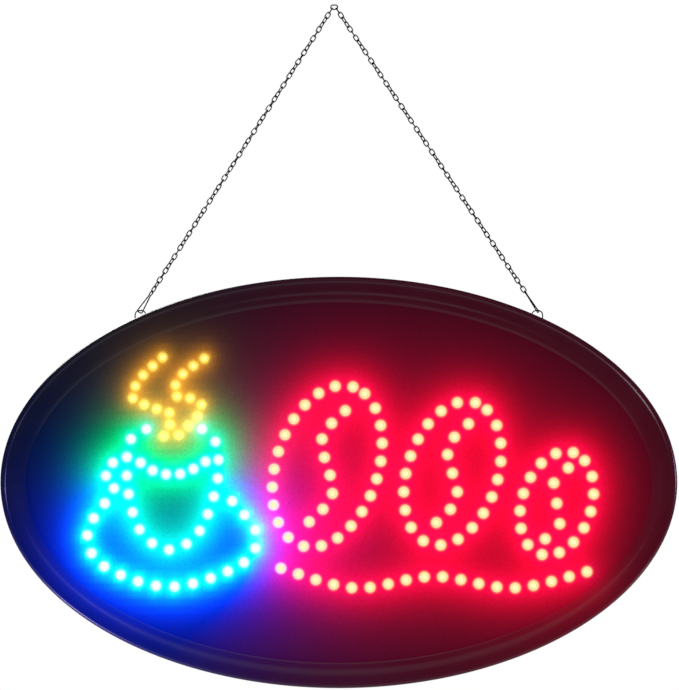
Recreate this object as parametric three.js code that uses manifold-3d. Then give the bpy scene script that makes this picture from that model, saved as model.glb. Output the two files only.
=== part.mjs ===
// Oval LED sign that hangs on a chain. A moulded rim holds a drilled panel, strips of LEDs shine
// through the panel, and a rear cover with a sunken control pocket closes the back.
// Millimetres, +Z up, the front faces -Y. The origin is the point where a hook carries the top link.

import * as THREE from 'three';
import { mergeVertices } from 'three/addons/utils/BufferGeometryUtils.js';
import Module from 'manifold-3d';

const wasm = await Module();
wasm.setup();

// ---- Driving dimensions

const gap = 0.3; // clearance between pieces that touch

// The oval body. Depths are measured from its middle plane, and insets inwards from its outer edge.
const body = {
  halfWidth: 292,
  halfHeight: 177.5,
  front: -12.5,
  rear: 12.5,
  segments: 72,
  eyeDepth: 1.2, // the eyes stand over the centre of mass
};

const rim = {
  wall: 2.4,
  lip: 3.4, // inset of the lip's crest
  bandFront: -11.2,
  bandInset: 5.2,
  beadStart: 13,
  beadEnd: 22,
  beadRise: 1.1,
  flangeRear: -9.6,
  skirtRear: 9.2,
};

const panel = { front: -9.3, thickness: 3, inset: 13.4 };
const cover = { thickness: 3, skirt: 2.2, skirtFront: 2.5 };

const led = { lens: 2.5, tip: -10.9, dome: 1.5, sides: 5 };
const strip = { width: 7, thickness: 1.6, end: 3.6 };

const screw = { count: 8, inset: 9, head: 2.8, headHeight: 1.2, shank: 1.25, length: 12 };
const boss = { radius: 3.75, pilotDepth: 12.5 };
const post = { radius: 4, inset: 19, inner: [[-74, 62], [48, 74], [150, 46], [58, -66]] };

// The control pocket in the rear cover, with the board behind its floor.
const pocket = { x: 0, z: -129, width: 110, height: 36, floor: 6, wall: 2 };
const board = { x: -26, width: 52, height: 30, rear: -2, thickness: 1.6, standoff: 3, screwX: 22, screwZ: 11 };
const connector = { x: -2, z: 10, width: 20, height: 5 }; // from the middle of the board
const modeButton = { x: -12, cap: 2.9, flange: 3.6, top: 8.3, flangeTop: 3.4, foot: 2.1 };
const rockerSwitch = { x: 18, width: 13, height: 9, wall: 1, flange: 1.2, tilt: 12, pivot: 5.2, rocker: 6.4 };
const jack = { x: 40, body: 5, thread: 3.9, socket: 2.9, pin: 1, top: 8.6, nut: 6.2 };

// Hanging gear, all of the same wire.
const wire = 0.55; // radius
const wireStep = 1.5; // along a bend
const eye = { x: 171.5, halfSpan: 4.65, top: 148.5, foot: 134, bend: 2.6, corner: 2.2 };
const link = { length: 7, width: 4.8 };
const hang = { offset: 4, drop: 411.9 }; // from the origin to the middle of the oval
const clip = { halfBase: 3.2, neckAt: 17.5, neck: 0.75, headAt: 19.8, head: 1.75, tip: 22.3, corner: 1.4 };
const clipTwist = { left: 45, right: 75 }; // degrees about the chain's line
const chainEnd = 4.6; // from the top link's bend to the end of a chain half

// LED strokes, as curves on the panel in X and Z from its middle. Each has its own strip.
const strokes = [
  open('steam_left', 'yellow', 10, [[-152, 108], [-171, 90], [-178, 73], [-161, 65], [-144, 58], [-151, 40]]),
  open('steam_right', 'yellow', 10, [[-116, 107], [-136, 92], [-142, 76], [-126, 72], [-118, 63], [-138, 41]]),
  open('cup', 'green', 17, [
    [-166, 46], [-181, 34], [-182, -6], [-171, -42], [-147, -58], [-121, -43], [-105, 0], [-106, 34], [-118, 46],
  ]),
  open('cup_brim', 'green', 6, [[-171, 17], [-155, 8], [-134, 8], [-115, 18]]),
  open('cup_handle', 'green', 3, [[-195, 17], [-201, 6], [-194, -5]]),
  open('saucer', 'blue', 17, [[-202, -18], [-217, -44], [-203, -72], [-146, -90], [-85, -71], [-71, -45], [-92, -16]]),
  ...bean('bean_large', -10, 14, 72, 44, 24, 8),
  ...bean('bean_medium', 98, 8, 64, 39, 21, 7),
  ...bean('bean_small', 188, -18, 46, 30, 16, 5),
  open('underline', 'red', 18, [[-50, -74], [14, -91], [82, -81], [150, -91], [214, -77]]),
];

// Leads that fan out from the connector on the board, as the X and Z of their turning points. Each
// comes down on the back of a strip.
const leads = [
  ['lead_blue', 'blue', [[-36, -112], [-60, -104], [-124, -100], [-146, -90]]],
  ['lead_green', 'green', [[-31, -110], [-66, -96], [-118, -80], [-147, -58]]],
  ['lead_yellow', 'yellow', [[-26, -108], [-64, -88], [-66, 0], [-90, 58], [-119, 64]]],
  ['lead_red', 'red', [[-21, -108], [0, -100], [14, -91]]],
];

// Jumpers from the back of one strip to the back of another.
const jumpers = [
  ['jumper_steam', 'yellow', [[-142, 76], [-160, 65]]],
  ['jumper_cup_brim', 'green', [[-171, -42], [-160, -12], [-156, 8]]],
  ['jumper_cup_handle', 'green', [[-183, 6], [-201, 6]]],
  ['jumper_bean_large', 'red', [[-17, -84], [-17, -55]]],
  ['jumper_bean_medium', 'red', [[92, -82], [92, -53]]],
  ['jumper_bean_small', 'red', [[184, -86], [184, -62]]],
  ['jumper_crease_large', 'red', [[-32, -54], [-26, -34]]],
  ['jumper_crease_medium', 'red', [[78, -53], [84, -35]]],
  ['jumper_crease_small', 'red', [[174, -62], [178, -49]]],
];

// ---- Materials, by finish

const finishes = {
  rimBlack: { color: 0x17171b, roughness: 0.35, metalness: 0 },
  panelBlack: { color: 0x1a1a1f, roughness: 0.3, metalness: 0 },
  coverBlack: { color: 0x1c1c1e, roughness: 0.6, metalness: 0 },
  blackSteel: { color: 0x1b1b1c, roughness: 0.4, metalness: 0.8 },
  screwSteel: { color: 0x2b2b2d, roughness: 0.35, metalness: 0.9 },
  switchBlack: { color: 0x121213, roughness: 0.4, metalness: 0 },
  boardGreen: { color: 0x14502c, roughness: 0.5, metalness: 0 },
  chipBlack: { color: 0x101011, roughness: 0.5, metalness: 0 },
  nickel: { color: 0xb9b7b0, roughness: 0.3, metalness: 1 },
  yellow: { color: 0xffc83a, roughness: 0.3, metalness: 0 },
  green: { color: 0x4dffc0, roughness: 0.3, metalness: 0 },
  blue: { color: 0x2f9dff, roughness: 0.3, metalness: 0 },
  red: { color: 0xff3a4a, roughness: 0.3, metalness: 0 },
};

function place(parent, name, geometry, finish) {
  const mesh = new THREE.Mesh(geometry, new THREE.MeshStandardMaterial(finishes[finish]));
  mesh.name = name;
  parent.add(mesh);
  return mesh;
}

// ---- Solids

function solidOf(geometry) {
  geometry.deleteAttribute('normal');
  geometry.deleteAttribute('uv');
  const merged = mergeVertices(geometry, 1e-4);
  return new wasm.Manifold(new wasm.Mesh({
    numProp: 3,
    vertProperties: new Float32Array(merged.attributes.position.array),
    triVerts: new Uint32Array(merged.index.array),
  }));
}

function geometryOf(solid) {
  const { vertProperties, triVerts } = solid.getMesh();
  const geometry = new THREE.BufferGeometry();
  geometry.setAttribute('position', new THREE.BufferAttribute(vertProperties, 3));
  geometry.setIndex(new THREE.BufferAttribute(triVerts, 1));
  geometry.computeVertexNormals();
  return geometry;
}

// A solid made of one geometry, with others joined to it and then others cut from it.
function build(base, joined, cut = []) {
  let solid = solidOf(base);
  for (const piece of joined) solid = solid.add(solidOf(piece));
  for (const piece of cut) solid = solid.subtract(solidOf(piece));
  return geometryOf(solid);
}

// ---- Shapes on the oval

function ovalPoint(angle, inset) {
  const { halfWidth, halfHeight } = body;
  const outwards = new THREE.Vector2(Math.cos(angle) / halfWidth, Math.sin(angle) / halfHeight).normalize();
  return new THREE.Vector2(halfWidth * Math.cos(angle), halfHeight * Math.sin(angle)).addScaledVector(outwards, -inset);
}

function ovalShape(inset) {
  const points = [];
  for (let i = 0; i < body.segments; i++) points.push(ovalPoint((i / body.segments) * 2 * Math.PI, inset));
  return new THREE.Shape(points);
}

// Sweeps a closed profile of [inset, depth] points round the oval, down its outer side first: a lathe
// ring whose vertices are moved from a circle to the oval, each at its own inset.
function ovalRing(profile) {
  const radius = body.halfHeight;
  const points = [profile[0], ...[...profile].reverse()].map(([inset, depth]) => new THREE.Vector2(radius - inset, depth));
  const ring = new THREE.LatheGeometry(points, body.segments);
  const position = ring.attributes.position;
  for (let i = 0; i < position.count; i++) {
    const x = position.getX(i);
    const z = position.getZ(i);
    const moved = ovalPoint(Math.atan2(z, x), radius - Math.hypot(x, z));
    position.setXYZ(i, moved.x, position.getY(i), moved.y);
  }
  return ring;
}

// A flat plate: the shape's X and Y become X and Z, between two depths.
function plate(shape, front, rear) {
  const geometry = new THREE.ExtrudeGeometry(shape, { depth: rear - front, bevelEnabled: false });
  return geometry.rotateX(Math.PI / 2).translate(0, rear, 0);
}

function block(x, z, width, height, front, rear) {
  return new THREE.BoxGeometry(width, rear - front, height).translate(x, (front + rear) / 2, z);
}

// A round bar along Y.
function bar(x, z, radius, front, rear, sides = 12) {
  return new THREE.CylinderGeometry(radius, radius, rear - front, sides).translate(x, (front + rear) / 2, z);
}

function turned(profile, sides) {
  return new THREE.LatheGeometry(profile.map(([r, y]) => new THREE.Vector2(r, y)), sides);
}

// ---- Wires

// Straight runs through the points, with rounded corners.
function roundedPath(points, corner) {
  const path = new THREE.CurvePath();
  let start = points[0];
  for (let i = 1; i < points.length - 1; i++) {
    const reach = Math.min(corner, points[i].distanceTo(points[i - 1]) / 2, points[i].distanceTo(points[i + 1]) / 2);
    const before = points[i].clone().lerp(points[i - 1], reach / points[i].distanceTo(points[i - 1]));
    const after = points[i].clone().lerp(points[i + 1], reach / points[i].distanceTo(points[i + 1]));
    path.add(new THREE.LineCurve3(start, before));
    path.add(new THREE.QuadraticBezierCurve3(before, points[i], after));
    start = after;
  }
  path.add(new THREE.LineCurve3(start, points[points.length - 1]));
  return path;
}

function tube(path, radius, step, sides = 6) {
  const section = new THREE.Shape();
  for (let i = 0; i < sides; i++) {
    const angle = (i / sides) * 2 * Math.PI;
    section[i ? 'lineTo' : 'moveTo'](radius * Math.cos(angle), radius * Math.sin(angle));
  }
  const steps = Math.round(path.getLength() / step);
  return new THREE.ExtrudeGeometry(section, { steps, extrudePath: path, bevelEnabled: false });
}

// ---- LED strokes

function open(name, colour, count, points) {
  return { name, colour, count, curve: new THREE.SplineCurve(points.map(([x, z]) => new THREE.Vector2(x, z))) };
}

// A coffee bean: a leaning oval and the crease along its middle.
function bean(name, x, z, halfLength, halfWidth, rimCount, creaseCount) {
  const lean = THREE.MathUtils.degToRad(72); // of the long axis, from +X
  const gapAngle = (2 * Math.PI) / rimCount; // leaves one pitch between the strip's two ends
  const outline = new THREE.EllipseCurve(x, z, halfLength, halfWidth, 0, 2 * Math.PI - gapAngle, false, lean);
  const crease = [[0.7, 0], [0.28, 0.26], [-0.28, -0.26], [-0.7, 0]].map(([along, across]) =>
    new THREE.Vector2(along * halfLength, across * halfWidth).rotateAround(new THREE.Vector2(), lean)
      .add(new THREE.Vector2(x, z)));
  return [
    { name, colour: 'red', count: rimCount, curve: outline },
    { name: name + '_crease', colour: 'red', count: creaseCount, curve: new THREE.SplineCurve(crease) },
  ];
}

function ledPoints(stroke) {
  return stroke.curve.getSpacedPoints(stroke.count - 1);
}

// The outline of a strip: its curve, carried a little past both end LEDs and widened to each side.
function stripShape(stroke) {
  const points = ledPoints(stroke);
  const last = points.length - 1;
  points[0] = points[0].clone().add(points[0].clone().sub(points[1]).setLength(strip.end));
  points[last] = points[last].clone().add(points[last].clone().sub(points[last - 1]).setLength(strip.end));
  const sides = points.map((point, i) => {
    const along = points[Math.min(i + 1, last)].clone().sub(points[Math.max(i - 1, 0)]).setLength(strip.width / 2);
    return [point.clone().add(new THREE.Vector2(-along.y, along.x)), point.clone().add(new THREE.Vector2(along.y, -along.x))];
  });
  return new THREE.Shape([...sides.map((side) => side[0]), ...sides.map((side) => side[1]).reverse()]);
}

const stripFront = panel.front + panel.thickness + gap;
const stripRear = stripFront + strip.thickness;

function lens(point) {
  const inside = (stripFront + stripRear) / 2;
  const profile = [[0, led.tip], [led.lens, led.tip + led.dome], [led.lens, inside], [0, inside]];
  return turned(profile, led.sides).translate(point.x, 0, point.y);
}

// ---- The sign

const sign = new THREE.Group();
sign.position.set(hang.offset, -body.eyeDepth, -hang.drop);

function placeRim() {
  const crest = rim.bandFront - rim.beadRise;
  const front = [
    [0, rim.skirtRear], [0, body.front + 3.6], [1.2, body.front + 1], [rim.lip, body.front],
    [rim.bandInset, rim.bandFront], [rim.beadStart, rim.bandFront],
    [rim.beadStart + 2.2, crest + 0.2], [rim.beadEnd - 2.2, crest + 0.2],
    [rim.beadEnd, rim.bandFront], [rim.beadEnd + 0.4, rim.flangeRear],
  ];
  const rear = [[rim.wall, rim.flangeRear], [rim.wall, rim.skirtRear]];
  const bosses = screwPlaces().map(({ x, y }) => bar(x, y, boss.radius, rim.flangeRear - 0.5, rim.skirtRear, 8));
  const pilots = screwPlaces().map(({ x, y }) =>
    bar(x, y, screw.shank + gap, rim.skirtRear - boss.pilotDepth, rim.skirtRear + 1, 8));
  const eyeHoles = [-1, 1].flatMap((side) => [-1, 1].map((leg) =>
    new THREE.CylinderGeometry(wire + gap, wire + gap, 22, 8).rotateX(Math.PI / 2)
      .translate(side * eye.x + leg * eye.halfSpan, body.eyeDepth, eye.foot + 9)));
  place(sign, 'front_rim', build(ovalRing([...front, ...rear]), bosses, [...pilots, ...eyeHoles]), 'rimBlack');
}

function screwPlaces() {
  return Array.from({ length: screw.count }, (_, i) => ovalPoint(((i + 0.5) / screw.count) * 2 * Math.PI, screw.inset));
}

function placePanel() {
  const shape = ovalShape(panel.inset);
  const holeRadius = led.lens + gap / Math.cos(Math.PI / led.sides);
  for (const point of strokes.flatMap(ledPoints)) {
    const hole = [];
    for (let i = 0; i < led.sides; i++) {
      const angle = (i / led.sides) * 2 * Math.PI;
      hole.push(new THREE.Vector2(point.x + holeRadius * Math.sin(angle), point.y + holeRadius * Math.cos(angle)));
    }
    shape.holes.push(new THREE.Path(hole));
  }
  place(sign, 'front_panel', plate(shape, panel.front, panel.front + panel.thickness), 'panelBlack');
}

function placeStrips() {
  for (const stroke of strokes) {
    const ribbon = plate(stripShape(stroke), stripFront, stripRear);
    place(sign, 'led_strip_' + stroke.name, build(ribbon, ledPoints(stroke).map(lens)), stroke.colour);
  }
}

function placeCover() {
  const plateFront = body.rear - cover.thickness;
  const skirtInset = rim.wall + gap;
  const skirt = ovalRing([
    [skirtInset, cover.skirtFront], [skirtInset + cover.skirt, cover.skirtFront],
    [skirtInset + cover.skirt, plateFront + 0.5], [skirtInset, plateFront + 0.5],
  ]);
  const edgePosts = Array.from({ length: screw.count }, (_, i) => ovalPoint((i / screw.count) * 2 * Math.PI, post.inset));
  const postPlaces = [...edgePosts, ...post.inner.map(([x, z]) => new THREE.Vector2(x, z))];
  const posts = postPlaces.map(({ x, y }) => bar(x, y, post.radius, stripFront, plateFront + 0.5, 8));
  const floorFront = pocket.floor - pocket.wall;
  const well = block(pocket.x, pocket.z, pocket.width + 2 * pocket.wall, pocket.height + 2 * pocket.wall,
    floorFront, plateFront + 0.5);
  const standoffs = boardScrewPlaces().map(([x, z]) => bar(x, z, board.standoff, board.rear + gap, floorFront + 0.5, 8));
  const joined = [skirt, well, ...posts, ...standoffs];

  const hollow = block(pocket.x, pocket.z, pocket.width, pocket.height, pocket.floor, body.rear + 1);
  const through = (x, radius) => bar(x, pocket.z, radius, floorFront - 1, pocket.floor + 1);
  const switchHole = block(rockerSwitch.x, pocket.z, rockerSwitch.width + 2 * gap, rockerSwitch.height + 2 * gap,
    floorFront - 1, pocket.floor + 1);
  const boardPilots = boardScrewPlaces().map(([x, z]) => bar(x, z, 1.3, board.rear, floorFront, 8));
  const screwHoles = screwPlaces().flatMap(({ x, y }) => [
    bar(x, y, screw.shank + gap, plateFront - 1, body.rear + 1, 8),
    bar(x, y, screw.head + gap, body.rear - screw.headHeight - 0.5, body.rear + 1),
  ]);
  const cut = [hollow, through(modeButton.x, modeButton.cap + gap), through(jack.x, jack.thread + gap), switchHole,
    ...boardPilots, ...screwHoles];
  place(sign, 'rear_cover', build(plate(ovalShape(0), plateFront, body.rear), joined, cut), 'coverBlack');
}

function placeScrews() {
  const top = body.rear - 0.2;
  const under = top - screw.headHeight;
  const profile = [[0, under - screw.length], [screw.shank, under - screw.length + 1], [screw.shank, under],
    [screw.head, under], [screw.head, top - 0.4], [screw.head - 0.6, top], [0, top]];
  screwPlaces().forEach(({ x, y }, i) => {
    place(sign, 'cover_screw_' + (i + 1), turned(profile, 8), 'screwSteel').position.set(x, 0, y);
  });
}

// A bent wire whose two legs pass down through the rim and are clinched inside it.
function placeEyes() {
  for (const [name, side] of [['eye_left', -1], ['eye_right', 1]]) {
    const x = side * eye.x;
    const legs = [-1, 1].map((leg) => [
      new THREE.Vector3(x + leg * (eye.halfSpan + eye.bend), 0, eye.foot), new THREE.Vector3(x + leg * eye.halfSpan, 0, eye.foot),
      new THREE.Vector3(x + leg * eye.halfSpan, 0, eye.top),
    ]);
    const path = roundedPath([...legs[0], ...legs[1].reverse()], eye.corner);
    place(sign, name, tube(path, wire, wireStep), 'blackSteel').position.y = body.eyeDepth;
  }
}

// ---- Control gear behind the pocket

function boardScrewPlaces() {
  return [[board.x - board.screwX, pocket.z - board.screwZ], [board.x + board.screwX, pocket.z + board.screwZ]];
}

function placeBoard() {
  const front = board.rear - board.thickness;
  const holes = boardScrewPlaces().map(([x, z]) => bar(x, z, 1.1 + gap, front - 1, board.rear + 1, 8));
  const sheet = block(board.x, pocket.z, board.width, board.height, front, board.rear);
  place(sign, 'controller_board', build(sheet, [], holes), 'boardGreen');

  const top = board.rear + gap;
  place(sign, 'flasher_chip', block(board.x - 4, pocket.z - 8, 10, 6.2, top, top + 1.8), 'chipBlack');
  const { width, height } = connector;
  const header = block(board.x + connector.x, pocket.z + connector.z, width, height, top, top + 4.6);
  place(sign, 'lead_connector', header, 'panelBlack');
  place(sign, 'capacitor', new THREE.CylinderGeometry(2.5, 2.5, 9, 10).rotateZ(Math.PI / 2)
    .translate(board.x - 17, top + 2.5, pocket.z - 1), 'nickel');
  place(sign, 'mode_switch', block(modeButton.x, pocket.z, 6, 6, top, modeButton.foot - 1.1), 'chipBlack');

  const head = front - gap;
  const profile = [[0, head - 1.3], [2, head - 1.3], [2, head], [1, head], [1, head + 5], [0, head + 5]];
  boardScrewPlaces().forEach(([x, z], i) => {
    place(sign, 'board_screw_' + (i + 1), turned(profile, 8), 'screwSteel').position.set(x, 0, z);
  });
}

function placeModeButton() {
  const { cap, flange, foot, flangeTop, top } = modeButton;
  const profile = [[0, foot], [flange, foot], [flange, flangeTop], [cap, flangeTop], [cap, top - 0.5],
    [cap - 0.5, top], [0, top]];
  place(sign, 'mode_button', turned(profile, 12), 'switchBlack').position.set(modeButton.x, 0, pocket.z);
}

function placeRockerSwitch() {
  const { x, width, height, wall, flange, pivot, rocker } = rockerSwitch;
  const top = pocket.floor + gap + flange;
  const housing = block(x, pocket.z, width, height, -4.4, top);
  const collar = block(x, pocket.z, width + 2.4, height + 2.4, pocket.floor + gap, top);
  const well = block(x, pocket.z, width - 2 * wall, height - 2 * wall, 0.5, top + 1);
  place(sign, 'switch_housing', build(housing, [collar], [well]), 'switchBlack');

  // The rocker's side view about its pivot: a shallow V on top and a rounded underside.
  const outline = new THREE.Shape([
    [-4.7, -0.4], [-3, -3.2], [3, -3.2], [4.7, -0.4], [4.8, 2.4], [2.6, 1.8], [0, 1.6], [-2.6, 1.8], [-4.8, 2.4],
  ].map(([along, up]) => new THREE.Vector2(along, up)));
  const lever = new THREE.ExtrudeGeometry(outline, { depth: rocker, bevelEnabled: false }).translate(0, 0, -rocker / 2);
  const mesh = place(sign, 'rocker', lever, 'switchBlack');
  mesh.position.set(x, pivot, pocket.z);
  mesh.rotation.z = THREE.MathUtils.degToRad(rockerSwitch.tilt);
}

function placeJack() {
  const { x, body: barrel, thread, socket, pin, top, nut } = jack;
  const shoulder = pocket.floor - pocket.wall - gap;
  const profile = [[0, -5.4], [barrel, -5.4], [barrel, shoulder], [thread, shoulder], [thread, top], [socket, top],
    [socket, -2], [pin, -2], [pin, top - 2.4], [0, top - 2.4]];
  place(sign, 'power_jack', turned(profile, 12), 'chipBlack').position.set(x, 0, pocket.z);

  const front = pocket.floor + gap;
  const hexagon = new THREE.CylinderGeometry(nut, nut, 2, 6).translate(0, front + 1, 0);
  const hole = bar(0, 0, thread + gap, front - 1, front + 3);
  place(sign, 'jack_nut', build(hexagon, [], [hole]), 'nickel').position.set(x, 0, pocket.z);
}

// Leads and jumpers run in one plane behind the strips and turn forwards at a strip's back.
function placeWiring() {
  const radius = 0.8;
  const sides = 5;
  const corner = 4;
  const step = 5;
  const lane = 0.8;
  const onStrip = ([x, z]) => new THREE.Vector3(x, stripRear + gap, z);
  const inLane = ([x, z]) => new THREE.Vector3(x, lane, z);
  const connectorEdge = pocket.z + connector.z + connector.height / 2 + gap;
  for (const [name, colour, route] of leads) {
    const points = [inLane([route[0][0], connectorEdge]), ...route.map(inLane), onStrip(route.at(-1))];
    place(sign, name, tube(roundedPath(points, corner), radius, step, sides), colour);
  }
  for (const [name, colour, route] of jumpers) {
    const points = [onStrip(route[0]), ...route.map(inLane), onStrip(route.at(-1))];
    place(sign, name, tube(roundedPath(points, corner), radius, step, sides), colour);
  }
}

// ---- Hanging gear

const top = new THREE.Vector3(0, 0, -(link.width / 2 - 2 * wire)); // middle of the top link

function placeTopLink(parent) {
  const bend = link.width / 2 - wire;
  const straight = (link.length - link.width) / 2;
  const ring = new THREE.TorusGeometry(bend, wire, 6, 12).rotateX(Math.PI / 2);
  const position = ring.attributes.position;
  for (let i = 0; i < position.count; i++) {
    position.setX(i, position.getX(i) + (position.getX(i) > 0 ? straight : -straight));
  }
  place(parent, 'top_link', ring, 'blackSteel').position.copy(top);
}

// A chain half and the spring clip that joins it to its eye, both on one straight line.
function placeHalf(parent, side, name) {
  const from = new THREE.Vector3(hang.offset + side * eye.x, 0, eye.top - hang.drop);
  const to = top.clone().add(new THREE.Vector3(side * (link.length / 2 - wire), 0, 0));
  const along = to.clone().sub(from).normalize();
  const twist = THREE.MathUtils.degToRad(clipTwist[name]);
  const flat = new THREE.Vector3(along.z, 0, -along.x);
  const across = flat.multiplyScalar(Math.cos(twist)).add(new THREE.Vector3(0, Math.sin(twist), 0));
  const facing = along.clone().cross(across);

  // The base bar passes under the eye's top wire and clears it by the gap.
  const normal = new THREE.Vector3(1, 0, 0).cross(across).normalize();
  const seat = (2 * wire + gap) / Math.abs(along.dot(normal));
  const { halfBase, neck, neckAt, head, headAt, tip, corner } = clip;
  const half = (way) => [[way * 0.25, 0], [way * halfBase, 0], [way * neck, neckAt], [way * head, headAt]]
    .map(([x, z]) => new THREE.Vector3(x, 0, z));
  const path = roundedPath([...half(1), new THREE.Vector3(0, 0, tip), ...half(-1).reverse()], corner);
  const clipMesh = place(parent, 'clip_' + name, tube(path, wire, wireStep), 'blackSteel');
  clipMesh.position.copy(from).addScaledVector(along, -seat);
  clipMesh.quaternion.setFromRotationMatrix(new THREE.Matrix4().makeBasis(across, facing, along));

  const start = tip + wire + gap - seat;
  const length = from.distanceTo(to) - start - chainEnd;
  const run = new THREE.CylinderGeometry(link.width / 2, link.width / 2, length, 8);
  const chain = place(parent, 'chain_' + name, run, 'blackSteel');
  chain.position.copy(from).addScaledVector(along, start + length / 2);
  chain.quaternion.setFromUnitVectors(new THREE.Vector3(0, 1, 0), along);
}

// ---- Assembly

placeRim();
placePanel();
placeStrips();
placeCover();
placeScrews();
placeEyes();
placeBoard();
placeModeButton();
placeRockerSwitch();
placeJack();
placeWiring();

const hangingSign = new THREE.Group();
hangingSign.add(sign);
placeTopLink(hangingSign);
placeHalf(hangingSign, -1, 'left');
placeHalf(hangingSign, 1, 'right');

export default hangingSign;
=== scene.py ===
import math
import random

import bpy
import numpy as np
from mathutils import Matrix, Vector


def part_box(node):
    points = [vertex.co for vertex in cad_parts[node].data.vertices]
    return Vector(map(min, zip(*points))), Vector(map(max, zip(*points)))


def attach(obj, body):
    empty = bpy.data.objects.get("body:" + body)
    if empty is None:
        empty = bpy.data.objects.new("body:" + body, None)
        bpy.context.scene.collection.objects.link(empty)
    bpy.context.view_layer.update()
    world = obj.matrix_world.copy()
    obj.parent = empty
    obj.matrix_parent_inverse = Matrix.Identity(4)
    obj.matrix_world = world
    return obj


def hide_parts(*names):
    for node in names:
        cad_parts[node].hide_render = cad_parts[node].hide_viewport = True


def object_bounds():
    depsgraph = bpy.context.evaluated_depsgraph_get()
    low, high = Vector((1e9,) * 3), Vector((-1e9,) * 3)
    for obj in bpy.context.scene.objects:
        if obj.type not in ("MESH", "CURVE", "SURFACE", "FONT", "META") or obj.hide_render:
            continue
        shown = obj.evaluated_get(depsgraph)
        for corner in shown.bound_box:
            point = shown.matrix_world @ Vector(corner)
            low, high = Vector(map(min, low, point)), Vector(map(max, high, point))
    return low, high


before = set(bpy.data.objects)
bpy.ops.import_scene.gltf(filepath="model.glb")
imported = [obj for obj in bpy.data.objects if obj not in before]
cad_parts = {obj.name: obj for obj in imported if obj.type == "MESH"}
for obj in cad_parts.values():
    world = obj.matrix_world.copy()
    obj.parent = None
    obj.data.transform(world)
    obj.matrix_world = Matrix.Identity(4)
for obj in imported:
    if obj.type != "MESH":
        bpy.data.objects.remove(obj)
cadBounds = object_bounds()
print("frame loaded:", len(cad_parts), "nodes")

mm = 0.001
bodyDepth = 12.5  # from the oval's middle plane to its rear face
coverLow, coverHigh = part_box("rear_cover")
halfWidth = (coverHigh.x - coverLow.x) / 2
halfHeight = (coverHigh.z - coverLow.z) / 2
middle = Vector(((coverLow.x + coverHigh.x) / 2, coverHigh.y - bodyDepth * mm,
                 (coverLow.z + coverHigh.z) / 2))


def at(x, depth, z):  # a place on the sign, from the middle of the oval
    return middle + Vector((x, depth, z)) * mm


def ovalPoint(angle, inset, depth):  # a place inside the oval's edge
    outward = Vector((math.cos(angle) / halfWidth, 0, math.sin(angle) / halfHeight)).normalized()
    edge = Vector((halfWidth * math.cos(angle), depth * mm, halfHeight * math.sin(angle)))
    return middle + edge - outward * inset * mm


# Selecting and editing

def onlySelect(*pieces):
    if bpy.context.mode != "OBJECT":
        bpy.ops.object.mode_set(mode="OBJECT")
    bpy.ops.object.select_all(action="DESELECT")
    for piece in pieces:
        piece.select_set(True)
    if pieces:
        bpy.context.view_layer.objects.active = pieces[0]


def settle(name):  # names the new object and puts its place into its mesh
    piece = bpy.context.object
    piece.name = name
    piece.data.name = name
    bpy.ops.object.transform_apply(location=True, rotation=True, scale=True)
    return piece


def editMesh(piece, kind="FACE"):
    onlySelect(piece)
    bpy.ops.object.mode_set(mode="EDIT")
    bpy.ops.mesh.select_mode(type=kind)
    bpy.ops.mesh.select_all(action="DESELECT")


def endEdit():
    bpy.ops.object.mode_set(mode="OBJECT")


def pickFaces(piece, wanted):
    editMesh(piece, "FACE")
    endEdit()
    for face in piece.data.polygons:
        face.select = wanted(face.center, face.normal)
    bpy.ops.object.mode_set(mode="EDIT")


def pickEdges(piece, wanted):
    editMesh(piece, "EDGE")
    endEdit()
    points = piece.data.vertices
    for edge in piece.data.edges:
        edge.select = wanted(points[edge.vertices[0]].co, points[edge.vertices[1]].co)
    bpy.ops.object.mode_set(mode="EDIT")


def pickPoints(piece, wanted):
    editMesh(piece, "VERT")
    endEdit()
    for point in piece.data.vertices:
        point.select = wanted(point.co)
    bpy.ops.object.mode_set(mode="EDIT")


def faceOutwards(piece, merge=0.002):
    editMesh(piece)
    bpy.ops.mesh.select_all(action="SELECT")
    bpy.ops.mesh.remove_doubles(threshold=merge * mm)
    bpy.ops.mesh.normals_make_consistent(inside=False)
    endEdit()


def finishWith(piece, kind, **settings):
    onlySelect(piece)
    modifier = piece.modifiers.new(kind.lower(), kind)
    for name, value in settings.items():
        setattr(modifier, name, value)
    bpy.ops.object.modifier_apply(modifier=modifier.name)


def combine(piece, tool, how, solver="MANIFOLD"):
    finishWith(piece, "BOOLEAN", object=tool, operation=how, solver=solver)
    bpy.data.objects.remove(tool)


def joinAll(pieces, name):
    onlySelect(*pieces)
    bpy.ops.object.join()
    bpy.context.object.name = name
    bpy.context.object.data.name = name
    return bpy.context.object


def copyOf(piece, name, move):
    twin = piece.copy()
    twin.data = piece.data.copy()
    twin.name = name
    twin.data.name = name
    bpy.context.scene.collection.objects.link(twin)
    twin.data.transform(move)
    return twin


def copyOfNode(node, name):  # a merged copy of a CAD node, with no finish yet
    piece = copyOf(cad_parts[node], name, Matrix())
    piece.parent = None
    for key in list(piece.keys()):
        del piece[key]
    piece.data.materials.clear()
    faceOutwards(piece)
    return piece


def dissolveFlat():  # in edit mode: flat faces become one
    bpy.ops.mesh.select_all(action="SELECT")
    bpy.ops.mesh.dissolve_limited(angle_limit=math.radians(1))


def smoothShade(piece, angle=35):
    onlySelect(piece)
    bpy.ops.object.shade_smooth_by_angle(angle=math.radians(angle))


# Gives a finished piece its one material and its body, and hides the CAD nodes that it stands for.
def fit(piece, finish, body, slot, *nodes):
    piece.data.materials.clear()
    piece.data.materials.append(finish)
    piece.data.polygons.foreach_set("material_index", [0] * len(piece.data.polygons))
    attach(piece, body)
    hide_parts(*nodes)


# Shapes that several pieces start from

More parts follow.
